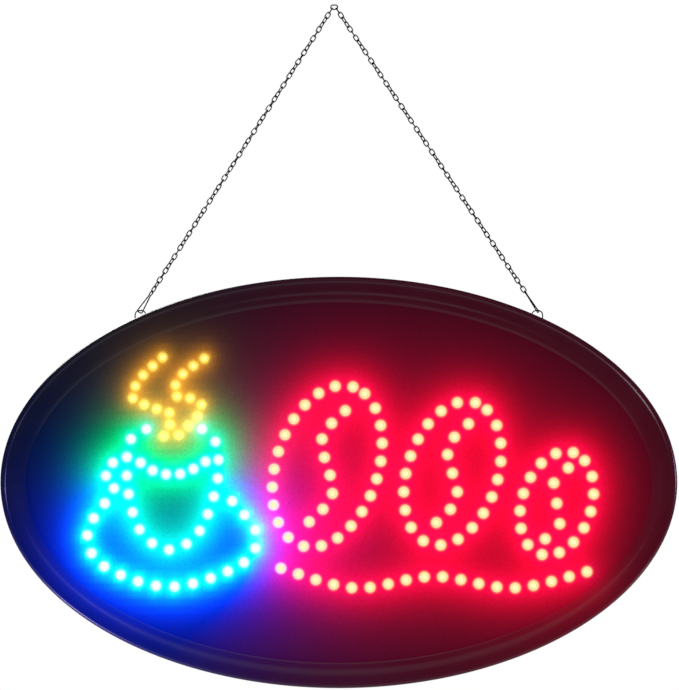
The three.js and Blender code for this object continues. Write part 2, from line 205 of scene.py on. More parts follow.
def addOval(name, inset, depth, facing, segments=224):  # flat, facing the front (-1) or the rear (1)
    bpy.ops.mesh.primitive_circle_add(vertices=segments, radius=1, fill_type="NGON",
                                      location=at(0, depth, 0), rotation=(-facing * math.pi / 2, 0, 0))
    oval = settle(name)
    editMesh(oval)
    bpy.ops.mesh.select_all(action="SELECT")
    bpy.ops.transform.resize(value=(halfWidth, 1, halfHeight), center_override=at(0, depth, 0))
    if inset:
        bpy.ops.mesh.inset(thickness=inset * mm, depth=0)
        bpy.ops.mesh.select_all(action="INVERT")
        bpy.ops.mesh.delete(type="FACE")
    endEdit()
    return oval


def addBlock(name, low, high, corner=0, segments=4):  # its edges along Y are rounded
    low, high = at(*low), at(*high)
    bpy.ops.mesh.primitive_cube_add(size=1, location=(low + high) / 2, scale=high - low)
    block = settle(name)
    if corner:
        pickEdges(block, lambda a, b: abs(a.y - b.y) > 0.1 * mm)
        bpy.ops.mesh.bevel(offset=corner * mm, segments=segments)
        endEdit()
    return block


# A piece turned about a line along Y, grown from a disc ring by ring: (radius, depth).
def addTurned(name, centre, profile, sides=32):
    radius, depth = profile[0]
    bpy.ops.mesh.primitive_circle_add(vertices=sides, radius=radius * mm, fill_type="NGON",
                                      location=centre + Vector((0, depth * mm, 0)),
                                      rotation=(-math.pi / 2, 0, 0))
    piece = settle(name)
    editMesh(piece)
    bpy.ops.mesh.select_all(action="SELECT")
    for nextRadius, nextDepth in profile[1:]:
        step = (0, (nextDepth - depth) * mm, 0)
        bpy.ops.mesh.extrude_region_move(TRANSFORM_OT_translate={"value": step})
        scale = nextRadius / radius
        bpy.ops.transform.resize(value=(scale, 1, scale), center_override=centre)
        radius, depth = nextRadius, nextDepth
    endEdit()
    faceOutwards(piece)
    return piece


def roundedPath(points, corner, steps=5):  # straight runs with rounded corners
    path = [points[0]]
    for before, here, after in zip(points, points[1:], points[2:]):
        reach = min(corner * mm, (here - before).length / 2, (after - here).length / 2)
        start = here + (before - here).normalized() * reach
        end = here + (after - here).normalized() * reach
        for i in range(steps + 1):
            t = i / steps
            path.append(start * (1 - t) ** 2 + here * 2 * t * (1 - t) + end * t ** 2)
    return path + [points[-1]]


def addWire(name, path, radius, roundness=3):
    bpy.ops.curve.primitive_nurbs_path_add()
    wire = settle(name)
    wire.data.splines.clear()
    spline = wire.data.splines.new("POLY")
    spline.points.add(len(path) - 1)
    for point, place in zip(spline.points, path):
        point.co = (*place, 1)
    wire.data.bevel_depth = radius * mm
    wire.data.bevel_resolution = roundness
    wire.data.use_fill_caps = True
    onlySelect(wire)
    bpy.ops.object.convert(target="MESH")
    wire = bpy.context.object
    faceOutwards(wire)
    smoothShade(wire, 60)
    return wire


# Node helpers

noiseLow, noiseHigh = 0.3, 0.7  # nearly all of a noise's values lie between these
dustColour = (0.32, 0.31, 0.29, 1)


def newFinish(name):
    finish = bpy.data.materials.new(name)
    finish.use_nodes = True
    nodes = finish.node_tree.nodes
    return finish, nodes, finish.node_tree.links, nodes["Principled BSDF"]


def addNoise(nodes, links, size, detail=3, roughness=0.55):  # size of its patches
    place = nodes.new("ShaderNodeTexCoord")
    noise = nodes.new("ShaderNodeTexNoise")
    noise.inputs["Scale"].default_value = 1 / (size * mm)
    noise.inputs["Detail"].default_value = detail
    noise.inputs["Roughness"].default_value = roughness
    links.new(place.outputs["Object"], noise.inputs["Vector"])
    return noise.outputs["Fac"]


def addRamp(nodes, links, source, stops):
    ramp = nodes.new("ShaderNodeValToRGB")
    elements = ramp.color_ramp.elements
    while len(elements) < len(stops):
        elements.new(0.5)
    for element, (position, colour) in zip(elements, stops):
        element.position = position
        element.color = (*colour, 1)
    links.new(source, ramp.inputs["Fac"])
    return ramp.outputs["Color"]


def addMath(nodes, links, operation, *values):
    step = nodes.new("ShaderNodeMath")
    step.operation = operation
    for socket, value in zip(step.inputs, values):
        if isinstance(value, (int, float)):
            socket.default_value = value
        else:
            links.new(value, socket)
    return step.outputs[0]


def addRange(nodes, links, source, low, high, toLow, toHigh):
    spread = nodes.new("ShaderNodeMapRange")
    for name, value in zip(("From Min", "From Max", "To Min", "To Max"), (low, high, toLow, toHigh)):
        spread.inputs[name].default_value = value
    links.new(source, spread.inputs["Value"])
    return spread.outputs["Result"]


def addBump(nodes, links, shader, height, depth):
    bump = nodes.new("ShaderNodeBump")
    bump.inputs["Distance"].default_value = depth * mm
    bump.inputs["Strength"].default_value = 1
    links.new(height, bump.inputs["Height"])
    links.new(bump.outputs["Normal"], shader.inputs["Normal"])


def addAttribute(nodes, name, output="Color"):
    attribute = nodes.new("ShaderNodeAttribute")
    attribute.attribute_name = name
    return attribute.outputs[output]


# Moulded or painted: fine grain in the surface, soft patches in colour and gloss, dust on what faces up.
def surfaceFinish(name, look):
    finish, nodes, links, shader = newFinish(name)
    patches = addNoise(nodes, links, look["patch"], detail=5)
    grain = addNoise(nodes, links, look["grain"], detail=2)
    colour = addRamp(nodes, links, patches, [(noiseLow, look["dark"]), (noiseHigh, look["light"])])
    if look.get("dust"):
        geometry = nodes.new("ShaderNodeNewGeometry")
        split = nodes.new("ShaderNodeSeparateXYZ")
        links.new(geometry.outputs["Normal"], split.inputs["Vector"])
        upward = addRange(nodes, links, split.outputs["Z"], 0.2, 1, 0, look["dust"])
        specks = addRange(nodes, links, addNoise(nodes, links, 1.5, detail=6), 0.45, 0.7, 0.2, 1)
        mix = nodes.new("ShaderNodeMix")
        mix.data_type = "RGBA"
        mix.inputs["B"].default_value = dustColour
        links.new(addMath(nodes, links, "MULTIPLY", upward, specks), mix.inputs["Factor"])
        links.new(colour, mix.inputs["A"])
        colour = mix.outputs["Result"]
    links.new(colour, shader.inputs["Base Color"])
    smooth, rough = look["roughness"]
    gloss = addRange(nodes, links, patches, noiseLow, noiseHigh, smooth, rough)
    links.new(gloss, shader.inputs["Roughness"])
    addBump(nodes, links, shader, grain, look["bump"])
    shader.inputs["Metallic"].default_value = look.get("metallic", 0)
    shader.inputs["Specular IOR Level"].default_value = look.get("specular", 0.5)
    return finish


# LEDs

stripLook = {
    "front": -6.0, "sides": 12,
    "lens": [(2.5, -6.2), (2.5, -9.5), (2.3, -10.15), (1.75, -10.6), (0.95, -10.9)],
    "ownColour": 0.08, "roughness": (0.12, 0.25), "specular": 0.2,
}
# The lens's light from its middle to its edge, the painted glare round it (added colour, radius, softness),
# and the painted glow that its light casts on the panel, by its reach.
ledLooks = {
    "red": {
        "lens": [(0, (0.74, 1, 0.5)), (0.45, (0.9, 1, 0.52)), (1, (1, 0.92, 0.42))],
        "glare": (0.6, 0.85, 0.3), "radius": 4.55, "soft": 0.085,
        "glow": {4: (0, 0.003, 0.13), 10: (0.75, 0, 0.014), 45: (0.017, 0, 0.0007)},
    },
    "yellow": {
        "lens": [(0, (1, 1, 0.4)), (0.7, (1, 1, 0.3)), (1, (1, 0.97, 0.2))],
        "glare": (0.6, 0.85, 0.16), "radius": 3.7, "soft": 0.2,
        "glow": {4: (1.3, 0.45, 0), 10: (0.09, 0.035, 0), 28: (0.002, 0.003, 0)},
    },
    "green": {
        "lens": [(0, (1, 0.84, 0.86)), (0.5, (1, 0.93, 0.94)), (1, (1, 1, 1))],
        "glare": (0.9, 0.6, 0.6), "radius": 4.0, "soft": 0.11,
        "glow": {4: (0, 0.7, 1.5), 10: (0, 0.78, 0.04)},
    },
    "blue": {
        "lens": [(0, (1, 0.83, 0.83)), (0.5, (1, 0.93, 0.93)), (1, (1, 1, 1))],
        "glare": (0.9, 0.6, 0.4), "radius": 4.15, "soft": 0.1,
        "glow": {4: (0, 3.4, 0.01), 10: (0, 0.07, 2.25), 25: (0, 0, 0.23), 60: (0, 0.0007, 0.0076)},
    },
}
paintedGlowFar = (0, 0.001, 0.006)  # the painted glow that the panel shows far from every LED
redLoss = 0.06  # how much red the painted glow loses where its green and blue are strong


def stripColour(node):
    for word, colour in (("steam", "yellow"), ("cup", "green"), ("saucer", "blue")):
        if word in node:
            return colour
    return "red"


def ledPlaces(node):  # the tips of the lenses are the points furthest to the front
    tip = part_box(node)[0].y
    points = [vertex.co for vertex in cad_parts[node].data.vertices if vertex.co.y < tip + 0.2 * mm]
    return sorted({(round(p.x, 5), round(p.z, 5)) for p in points})


stripNodes = sorted(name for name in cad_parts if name.startswith("led_strip_"))
leds = [(x, z, stripColour(node)) for node in stripNodes for x, z in ledPlaces(node)]
print("LEDs found:", len(leds))


# Painted light: the LEDs' glow on the panel and rim, added up from every LED by its distance.
def glowAt(points):
    colour = np.tile(np.array(paintedGlowFar), (len(points), 1))
    for x, z, name in leds:
        distance = np.hypot(points[:, 0] - x, points[:, 2] - z) / mm
        for reach, amount in ledLooks[name]["glow"].items():
            colour += np.exp(-distance / reach)[:, None] * np.array(amount)
    colour[:, 0] -= redLoss * (colour[:, 1] + colour[:, 2])
    return np.maximum(colour, 0)


def pointsOf(piece):
    places = np.zeros(len(piece.data.vertices) * 3)
    piece.data.vertices.foreach_get("co", places)
    return places.reshape(-1, 3)


def storeColour(piece, name, colour, domain="POINT"):
    attribute = piece.data.attributes.new(name, "FLOAT_COLOR", domain)
    if colour.shape[1] == 3:
        colour = np.hstack([colour, np.ones((len(colour), 1))])
    attribute.data.foreach_set("color", colour.astype(np.float32).ravel())


def storeNumber(piece, name, numbers):
    attribute = piece.data.attributes.new(name, "FLOAT", "POINT")
    attribute.data.foreach_set("value", numbers.astype(np.float32))


def lensFinish(name, look):
    finish, nodes, links, shader = newFinish(name)
    colour = addRamp(nodes, links, addAttribute(nodes, "fromMiddle", "Fac"), look["lens"])
    links.new(colour, shader.inputs["Emission Color"])
    shader.inputs["Emission Strength"].default_value = 1
    edgeColour = look["lens"][-1][1]
    shader.inputs["Base Color"].default_value = (*(stripLook["ownColour"] * part for part in edgeColour), 1)
    clouds = addNoise(nodes, links, 0.8)
    gloss = addRange(nodes, links, clouds, noiseLow, noiseHigh, *stripLook["roughness"])
    links.new(gloss, shader.inputs["Roughness"])
    shader.inputs["Specular IOR Level"].default_value = stripLook["specular"]
    return finish


ribbonFinish = surfaceFinish("ribbon_white", {
    "dark": (0.55, 0.56, 0.55), "light": (0.7, 0.7, 0.68), "patch": 6, "grain": 0.4, "bump": 0.02,
    "roughness": (0.35, 0.55)})
lensFinishes = {name: lensFinish("led_" + name + "_lens", look) for name, look in ledLooks.items()}


def makeStrip(node, lens):
    places = ledPlaces(node)
    ribbon = copyOfNode(node, "ribbon")
    ribbon.data.materials.append(ribbonFinish)
    front = at(0, stripLook["front"], 0).y
    pickFaces(ribbon, lambda centre, normal: centre.y < front - 0.05 * mm)  # the plain lenses come off
    bpy.ops.mesh.delete(type="FACE")
    bpy.ops.mesh.select_all(action="SELECT")
    bpy.ops.mesh.fill_holes(sides=0)
    dissolveFlat()
    endEdit()
    smoothShade(ribbon)
    lenses = [copyOf(lens, "lens", Matrix.Translation((x, middle.y, z))) for x, z in places]
    for twin in lenses:
        twin.data.materials.clear()
        twin.data.materials.append(lensFinishes[stripColour(node)])
    strip = joinAll([ribbon, *lenses], node.replace("led_strip", "leds"))
    points = pointsOf(strip)
    distance = np.full(len(points), 1e6)
    for x, z in places:
        distance = np.minimum(distance, np.hypot(points[:, 0] - x, points[:, 2] - z) / mm)
    storeNumber(strip, "fromMiddle", np.clip(distance / stripLook["lens"][0][0], 0, 1))
    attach(strip, "sign")
    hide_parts(node)


oneLens = addTurned("one_lens", Vector((0, 0, 0)), stripLook["lens"], stripLook["sides"])
smoothShade(oneLens, 60)
for node in stripNodes:
    makeStrip(node, oneLens)
bpy.data.objects.remove(oneLens)
print("LED strips made:", len(stripNodes))


# Front rim

rimLook = {
    "rear": 9.2, "lipStart": -8.9, "lip": 3.4, "crest": -12.5, "band": -11.2, "bandStart": 5.2,
    "beadStart": 13, "beadEnd": 22, "bead": -12.2, "wall": 1.6,
    "lipSteps": 7, "fallSteps": 4, "beadSteps": 12,
    "screwInset": 9, "screws": 8, "boss": 3.75, "pilot": 1.55, "pilotFront": -3.3,
    "eyeX": 171.5, "eyeSpan": 4.65, "eyeHole": 0.85, "eyeDepth": 1.2, "eyeHoleAt": 143, "eyeHoleLength": 20,
    # The first value is the share of the LEDs' glow that is painted on the rim's front.
    "paintedGlowShare": 0.85, "dark": (0.0025, 0.0023, 0.0025), "light": (0.004, 0.0037, 0.0038), "patch": 45,
    "grain": 0.6, "bump": 0.01, "roughness": (0.2, 0.28), "dust": 0.03, "specular": 0.14,
}


def screwPoints(depth):
    look = rimLook
    angles = [(i + 0.5) / look["screws"] * 2 * math.pi for i in range(look["screws"])]
    return [ovalPoint(angle, look["screwInset"], depth) for angle in angles]


def rimProfile():  # (inset, depth) steps from the outer edge to the panel
    look = rimLook
    drop = look["lipStart"] - look["crest"]
    count = look["lipSteps"]
    angles = [math.pi / 2 * i / count for i in range(1, count + 1)]
    steps = [(look["lip"] * (1 - math.cos(a)), look["lipStart"] - drop * math.sin(a)) for a in angles]
    for i in range(1, look["fallSteps"] + 1):  # the lip falls to the band
        t = i / look["fallSteps"]
        steps.append((look["lip"] + (look["bandStart"] - look["lip"]) * t,
                      look["crest"] + (look["band"] - look["crest"]) * (1 - math.cos(math.pi * t)) / 2))
    half, rise = (look["beadEnd"] - look["beadStart"]) / 2, look["band"] - look["bead"]
    radius = (half * half + rise * rise) / (2 * rise)
    for i in range(look["beadSteps"] + 1):  # the bead is a low arc
        across = half * (i / (look["beadSteps"] / 2) - 1)
        height = math.sqrt(radius * radius - across * across) - (radius - rise)
        steps.append((look["beadStart"] + half + across, look["band"] - height))
    return steps


def makeRim():
    look = rimLook
    rim = addOval("rim", 0, look["rear"], -1)
    editMesh(rim)
    bpy.ops.mesh.select_all(action="SELECT")
    forward = (0, (look["lipStart"] - look["rear"]) * mm, 0)
    bpy.ops.mesh.extrude_region_move(TRANSFORM_OT_translate={"value": forward})
    inset, depth = 0, look["lipStart"]
    for nextInset, nextDepth in rimProfile():
        bpy.ops.mesh.inset(thickness=(nextInset - inset) * mm, depth=(depth - nextDepth) * mm)
        inset, depth = nextInset, nextDepth
    bpy.ops.mesh.delete(type="FACE")
    endEdit()
    rear = at(0, look["rear"], 0).y
    pickFaces(rim, lambda centre, normal: centre.y > rear - 0.01 * mm)
    bpy.ops.mesh.delete(type="FACE")
    endEdit()
    finishWith(rim, "SOLIDIFY", thickness=look["wall"] * mm, offset=-1, use_even_offset=True, use_rim=True)

    back = look["band"] + look["wall"]
    boss = [(look["boss"], back - 0.5), (look["boss"], look["rear"])]
    bosses = [addTurned("boss", place, boss, 24) for place in screwPoints(0)]
    combine(rim, joinAll(bosses, "bosses"), "UNION")
    pilot = [(look["pilot"], look["pilotFront"]), (look["pilot"], look["rear"] + 1)]
    holes = [addTurned("pilot", place, pilot, 16) for place in screwPoints(0)]
    for x in (side * look["eyeX"] + leg * look["eyeSpan"] for side in (-1, 1) for leg in (-1, 1)):
        bpy.ops.mesh.primitive_cylinder_add(vertices=16, radius=look["eyeHole"] * mm,
                                            depth=look["eyeHoleLength"] * mm,
                                            location=at(x, look["eyeDepth"], look["eyeHoleAt"]))
        holes.append(settle("eye_hole"))
    combine(rim, joinAll(holes, "holes"), "DIFFERENCE")
    smoothShade(rim, 32)

    points = pointsOf(rim)
    facing = np.clip((at(0, look["lipStart"], 0).y - points[:, 1]) / (2 * mm), 0, 1)  # the painted LED glow is only on the front
    storeColour(rim, "glow", glowAt(points) * facing[:, None] * look["paintedGlowShare"])
    return rim


def rimFinish():
    finish = surfaceFinish("rim_black", rimLook)
    nodes, links = finish.node_tree.nodes, finish.node_tree.links
    shader = nodes["Principled BSDF"]
    # Painted light: the LEDs' glow on the black rim goes into its emission.
    links.new(addAttribute(nodes, "glow"), shader.inputs["Emission Color"])
    shader.inputs["Emission Strength"].default_value = 1
    return finish


fit(makeRim(), rimFinish(), "sign", "rim_plastic", "front_rim")
print("rim made")


# Front panel

panelLook = {
    "inset": 13.4, "front": -9.3, "thickness": 3, "cell": 2.4, "hole": 2.75, "clear": 2, "cutter": 10,
    "grain": 0.9, "grainShare": 0.16, "bump": 0.01, "patch": 30, "roughness": (0.3, 0.42),
    "base": (0.0015, 0.0015, 0.0016), "specular": 0.03,
}


def makePanel():
    look = panelLook
    columns = round(2 * halfWidth / mm / look["cell"])
    rows = round(2 * halfHeight / mm / look["cell"])
    bpy.ops.mesh.primitive_grid_add(x_subdivisions=columns, y_subdivisions=rows, size=1,
                                    location=at(0, look["front"], 0), rotation=(math.pi / 2, 0, 0),
                                    scale=(2 * halfWidth, 2 * halfHeight, 1))
    panel = settle("panel")
    finishWith(panel, "SOLIDIFY", thickness=look["thickness"] * mm, offset=-1)

    start = look["front"] - look["clear"]  # the cutters stand out by this much
    outline = addOval("outline", look["inset"], start, -1)
    finishWith(outline, "SOLIDIFY", thickness=look["cutter"] * mm, offset=-1)
    combine(panel, outline, "INTERSECT", "EXACT")  # this solver keeps the grid's cells
    print("panel cut out:", len(panel.data.polygons), "faces")

    drill = addTurned("drill", Vector((0, 0, 0)), [(look["hole"], start), (look["hole"], 0)], 16)
    drills = [copyOf(drill, "drill", Matrix.Translation((x, middle.y, z))) for x, z, colour in leds]
    bpy.data.objects.remove(drill)
    combine(panel, joinAll(drills, "drills"), "DIFFERENCE", "EXACT")
    smoothShade(panel, 30)

    points = pointsOf(panel)
    front = points[:, 1] < at(0, look["front"] + 0.5, 0).y
    # Painted LED glow and glare on the panel's front.
    storeColour(panel, "glow", glowAt(points) * front[:, None])
    storeGlare(panel, points, front)
    return panel


# Each corner of a face keeps how far it lies from the two LEDs nearest to that face, for the painted glare.
def storeGlare(piece, points, front):
    mesh = piece.data
    centres = np.zeros(len(mesh.polygons) * 3)
    mesh.polygons.foreach_get("center", centres)
    centres = centres.reshape(-1, 3)
    nearest = np.full((2, len(centres)), 1e6)
    owners = np.zeros((2, len(centres)), int)
    for i, (x, z, name) in enumerate(leds):
        distance = np.hypot(centres[:, 0] - x, centres[:, 2] - z)
        first = distance < nearest[0]
        second = (distance < nearest[1]) & ~first
        nearest[1][first], owners[1][first] = nearest[0][first], owners[0][first]
        nearest[0][first], owners[0][first] = distance[first], i
        nearest[1][second], owners[1][second] = distance[second], i
    sides = np.zeros(len(centres), np.int32)
    mesh.polygons.foreach_get("loop_total", sides)
    corners = np.zeros(len(mesh.loops), np.int32)
    mesh.loops.foreach_get("vertex_index", corners)
    places = np.array([(x, 0, z) for x, z, name in leds])
    radii = np.array([ledLooks[name]["radius"] * mm for x, z, name in leds])
    tints = np.array([(*ledLooks[name]["glare"], ledLooks[name]["soft"]) for x, z, name in leds])
    for rank in (0, 1):
        owner = np.repeat(owners[rank], sides)
        away = (points[corners] - places[owner]) * (1, 0, 1) / radii[owner][:, None]
        attribute = mesh.attributes.new("beside%d" % rank, "FLOAT_VECTOR", "CORNER")
        attribute.data.foreach_set("vector", away.astype(np.float32).ravel())
        tint = tints[owner]
        tint[:, :3] *= front[corners][:, None]
        storeColour(piece, "glare%d" % rank, tint, "CORNER")


def addGlare(nodes, links, rank):  # painted glare round an LED: full inside its radius, gone a little beyond it
    length = nodes.new("ShaderNodeVectorMath")
    length.operation = "LENGTH"
    links.new(addAttribute(nodes, "beside%d" % rank, "Vector"), length.inputs[0])
    beyond = addMath(nodes, links, "SUBTRACT", length.outputs["Value"], 1)
    steep = addMath(nodes, links, "DIVIDE", beyond, addAttribute(nodes, "glare%d" % rank, "Alpha"))
    rise = addMath(nodes, links, "ADD", addMath(nodes, links, "EXPONENT", steep), 1)
    glare = nodes.new("ShaderNodeVectorMath")
    glare.operation = "SCALE"
    links.new(addAttribute(nodes, "glare%d" % rank), glare.inputs[0])
    links.new(addMath(nodes, links, "DIVIDE", 1, rise), glare.inputs["Scale"])
    return glare.outputs["Vector"]


def panelFinish():
    look = panelLook
    finish, nodes, links, shader = newFinish("panel_smoke")
    glow = nodes.new("ShaderNodeVectorMath")  # the sheet's grain makes the painted glow a little uneven
    glow.operation = "SCALE"
    grain = addNoise(nodes, links, look["grain"], detail=3)
    share = look["grainShare"]
    links.new(addAttribute(nodes, "glow"), glow.inputs[0])
    uneven = addRange(nodes, links, grain, noiseLow, noiseHigh, 1 - share, 1 + share)
    links.new(uneven, glow.inputs["Scale"])
    light = glow.outputs["Vector"]
    for rank in (0, 1):
        total = nodes.new("ShaderNodeVectorMath")
        links.new(light, total.inputs[0])
        links.new(addGlare(nodes, links, rank), total.inputs[1])
        light = total.outputs["Vector"]
    # Painted light: the LEDs' glow and glare on the panel go into its emission.
    links.new(light, shader.inputs["Emission Color"])
    shader.inputs["Emission Strength"].default_value = 1
    shader.inputs["Base Color"].default_value = (*look["base"], 1)
    shader.inputs["Specular IOR Level"].default_value = look["specular"]
    clouds = addNoise(nodes, links, look["patch"])
    gloss = addRange(nodes, links, clouds, noiseLow, noiseHigh, *look["roughness"])
    links.new(gloss, shader.inputs["Roughness"])
    addBump(nodes, links, shader, grain, look["bump"])
    return finish


panel = makePanel()
fit(panel, panelFinish(), "sign", "panel_acrylic", "front_panel")
print("panel made:", len(panel.data.polygons), "faces")


# Rear cover with its control pocket

coverLook = {
    "rear": 12.5, "thickness": 3, "edge": 1.1, "edgeSteps": 4, "overlap": 0.5,
    "skirtInset": 2.7, "skirt": 2.2, "skirtFront": 2.5,
    "grooveInset": 16.5, "groove": 1.6, "grooveSlope": 0.35, "grooveDepth": 0.5,
    "post": 4, "posts": 8, "postInset": 19, "postFront": -6.0, "postChamfer": 0.4,
    "innerPosts": [(-74, 62), (48, 74), (150, 46), (58, -66)],
    "counterbore": 3.1, "boreFloor": 10.8, "screwHole": 1.55,
    "pocket": (0, -129), "pocketSize": (110, 36), "pocketFloor": 6, "wall": 2, "pocketCorner": 5,
    "pocketRound": 0.8, "standoffs": [(-48, -140), (-4, -118)], "standoff": 3, "standoffFront": -1.7,
    "standoffHole": 1.3, "buttonX": -12, "buttonHole": 3.2, "jackX": 40, "jackHole": 4.2,
    "switchX": 18, "switchHole": (13.6, 9.6),
    "dark": (0.0125, 0.0125, 0.013), "light": (0.0155, 0.0155, 0.0155), "patch": 28, "grain": 0.55,
    "bump": 0.05, "roughness": (0.48, 0.56), "dust": 0.12,
}


def makeCover():
    look = coverLook
    plateFront = look["rear"] - look["thickness"]
    joinDepth = plateFront + look["overlap"]  # what stands on the plate reaches into it
    cover = addOval("cover", 0, plateFront, 1)
    editMesh(cover)
    bpy.ops.mesh.select_all(action="SELECT")
    step = (0, (look["thickness"] - look["edge"]) * mm, 0)
    bpy.ops.mesh.extrude_region_move(TRANSFORM_OT_translate={"value": step})
    for i in range(1, look["edgeSteps"] + 1):  # the rear edge is rounded
        before, here = (math.pi / 2 * k / look["edgeSteps"] for k in (i - 1, i))
        bpy.ops.mesh.inset(thickness=look["edge"] * (math.cos(before) - math.cos(here)) * mm,
                           depth=look["edge"] * (math.sin(here) - math.sin(before)) * mm)
    bpy.ops.mesh.inset(thickness=(look["grooveInset"] - look["edge"]) * mm, depth=0)
    slope = look["grooveSlope"]
    for width, rise in ((slope, -1), (look["groove"] - 2 * slope, 0), (slope, 1)):
        bpy.ops.mesh.inset(thickness=width * mm, depth=rise * look["grooveDepth"] * mm)
    endEdit()
    faceOutwards(cover)

    skirt = addOval("skirt", look["skirtInset"], look["skirtFront"], -1)
    editMesh(skirt)
    bpy.ops.mesh.select_all(action="SELECT")
    bpy.ops.mesh.inset(thickness=look["skirt"] * mm, depth=0)
    bpy.ops.mesh.delete(type="FACE")
    endEdit()
    finishWith(skirt, "SOLIDIFY", thickness=(joinDepth - look["skirtFront"]) * mm, offset=-1)
    combine(cover, skirt, "UNION")

    x, z = look["pocket"]
    halfX, halfZ = look["pocketSize"][0] / 2, look["pocketSize"][1] / 2
    wall, floor = look["wall"], look["pocketFloor"]
    well = addBlock("well", (x - halfX - wall, floor - wall, z - halfZ - wall),
                    (x + halfX + wall, joinDepth, z + halfZ + wall), look["pocketCorner"] + wall)
    combine(cover, well, "UNION")
    places = [ovalPoint(i / look["posts"] * 2 * math.pi, look["postInset"], 0) for i in range(look["posts"])]
    places += [at(a, 0, b) for a, b in look["innerPosts"]]
    radius, tip, chamfer = look["post"], look["postFront"], look["postChamfer"]
    post = [(radius - chamfer, tip), (radius, tip + chamfer), (radius, joinDepth)]
    bars = [addTurned("post", place, post, 20) for place in places]
    standoff = [(look["standoff"], look["standoffFront"]), (look["standoff"], floor - wall + look["overlap"])]
    bars += [addTurned("standoff", at(a, 0, b), standoff, 20) for a, b in look["standoffs"]]
    combine(cover, joinAll(bars, "bars"), "UNION")

    hollow = addBlock("hollow", (x - halfX, floor, z - halfZ), (x + halfX, look["rear"] + 2, z + halfZ),
                      look["pocketCorner"], 6)
    floorPlane = at(0, floor, 0).y
    pickEdges(hollow, lambda a, b: max(a.y, b.y) < floorPlane + 0.01 * mm)
    bpy.ops.mesh.bevel(offset=look["pocketRound"] * mm, segments=3)
    endEdit()
    combine(cover, hollow, "DIFFERENCE")
    through = (floor - wall - 1, floor + 1)
    cuts = [addTurned("hole", at(holeX, 0, z), [(radius, through[0]), (radius, through[1])], 40)
            for holeX, radius in ((look["buttonX"], look["buttonHole"]), (look["jackX"], look["jackHole"]))]
    wide, high = (size / 2 for size in look["switchHole"])
    cuts.append(addBlock("switch_hole", (look["switchX"] - wide, through[0], z - high),
                         (look["switchX"] + wide, through[1], z + high), 0.5, 2))
    cuts += [addTurned("board_hole", at(a, 0, b), [(look["standoffHole"], -3), (look["standoffHole"], 4)], 16)
             for a, b in look["standoffs"]]
    hole, wide, rear = look["screwHole"], look["counterbore"], look["rear"]
    bore = [(hole, plateFront - 1), (hole, look["boreFloor"]), (wide, look["boreFloor"]), (wide, rear - 0.4),
            (wide + 0.5, rear + 0.1), (wide + 0.5, rear + 1)]
    cuts += [addTurned("bore", place, bore, 28) for place in screwPoints(0)]
    combine(cover, joinAll(cuts, "cuts"), "DIFFERENCE")
    smoothShade(cover, 32)
    return cover


fit(makeCover(), surfaceFinish("cover_black", coverLook), "sign", "cover_plastic", "rear_cover")
print("cover made")


# Screws

screwLook = {
    "top": 12.3, "head": 2.8, "headHeight": 1.2, "shank": 1.25, "length": 12, "turns": 8, "root": 0.86,
    "cross": 2.9, "slot": 0.55, "deep": 0.8,
    "dark": (0.02, 0.02, 0.021), "light": (0.06, 0.06, 0.06), "patch": 1.2, "grain": 0.3, "bump": 0.012,
    "roughness": (0.25, 0.42), "metallic": 0.9,
}


def makeScrew():  # its head's top is at the origin
    look = screwLook
    shank, head, length = look["shank"], look["head"], look["length"]
    under = -look["headHeight"]
    profile = [(shank * 0.2, under - length), (shank, under - length + 1.5)]
    for i in range(look["turns"]):  # rolled thread
        low = under - length + 2 + i * (length - 3) / look["turns"]
        profile += [(shank * look["root"], low), (shank, low + 0.45)]
    profile += [(shank * 0.9, under), (head, under), (head, -0.55), (head - 0.18, -0.22), (head - 0.7, 0)]
    screw = addTurned("one_screw", Vector((0, 0, 0)), profile, 24)
    reach, half = look["cross"] / 2, look["slot"] / 2
    for along, across in ((reach, half), (half, reach)):
        bpy.ops.mesh.primitive_cube_add(size=1, location=(0, 0, 0),
                                        scale=(2 * along * mm, 2 * look["deep"] * mm, 2 * across * mm))
        combine(screw, settle("slot"), "DIFFERENCE")
    smoothShade(screw, 40)
    return screw


screwFinish = surfaceFinish("screw_black", screwLook)
screw = makeScrew()
turns = random.Random(5)
for i, place in enumerate(screwPoints(screwLook["top"])):
    turn = Matrix.Rotation(turns.uniform(0, math.pi), 4, "Y")
    twin = copyOf(screw, "screw_%d" % (i + 1), Matrix.Translation(place) @ turn)
    fit(twin, screwFinish, "sign", "black_screw", "cover_screw_%d" % (i + 1))
bpy.data.objects.remove(screw)
print("screws made")


# Control gear in the pocket

buttonLook = {
    "profile": [(3.6, 2.1), (3.6, 3.4), (2.9, 3.4), (2.9, 7.7), (2.75, 8.05), (2.35, 8.28),
                (1.9, 8.3), (1.6, 8.12), (1.0, 8.0), (0.4, 7.97)],
    "dark": (0.012, 0.012, 0.013), "light": (0.02, 0.02, 0.021), "patch": 5, "grain": 0.3, "bump": 0.015,
    "roughness": (0.32, 0.45),
}
switchLook = {
    "dark": (0.009, 0.009, 0.01), "light": (0.015, 0.015, 0.016), "patch": 7, "grain": 0.25, "bump": 0.012,
    "roughness": (0.25, 0.4),
}
jackLook = {
    "profile": [(4.6, -5.4), (5, -5.0), (5, 3.7), (3.9, 3.7), (3.9, 6.4), (3.9, 8.3), (3.65, 8.6),
                (3.1, 8.6), (2.9, 8.4), (2.9, -2), (1, -2), (1, 5.9), (0.7, 6.2)],
    "dark": (0.008, 0.008, 0.009), "light": (0.014, 0.014, 0.014), "patch": 4, "grain": 0.2, "bump": 0.01,
    "roughness": (0.3, 0.45),
}
nutLook = {
    "dark": (0.52, 0.5, 0.46), "light": (0.68, 0.66, 0.62), "patch": 2.5, "grain": 0.15, "bump": 0.006,
    "roughness": (0.18, 0.34), "metallic": 1,
}


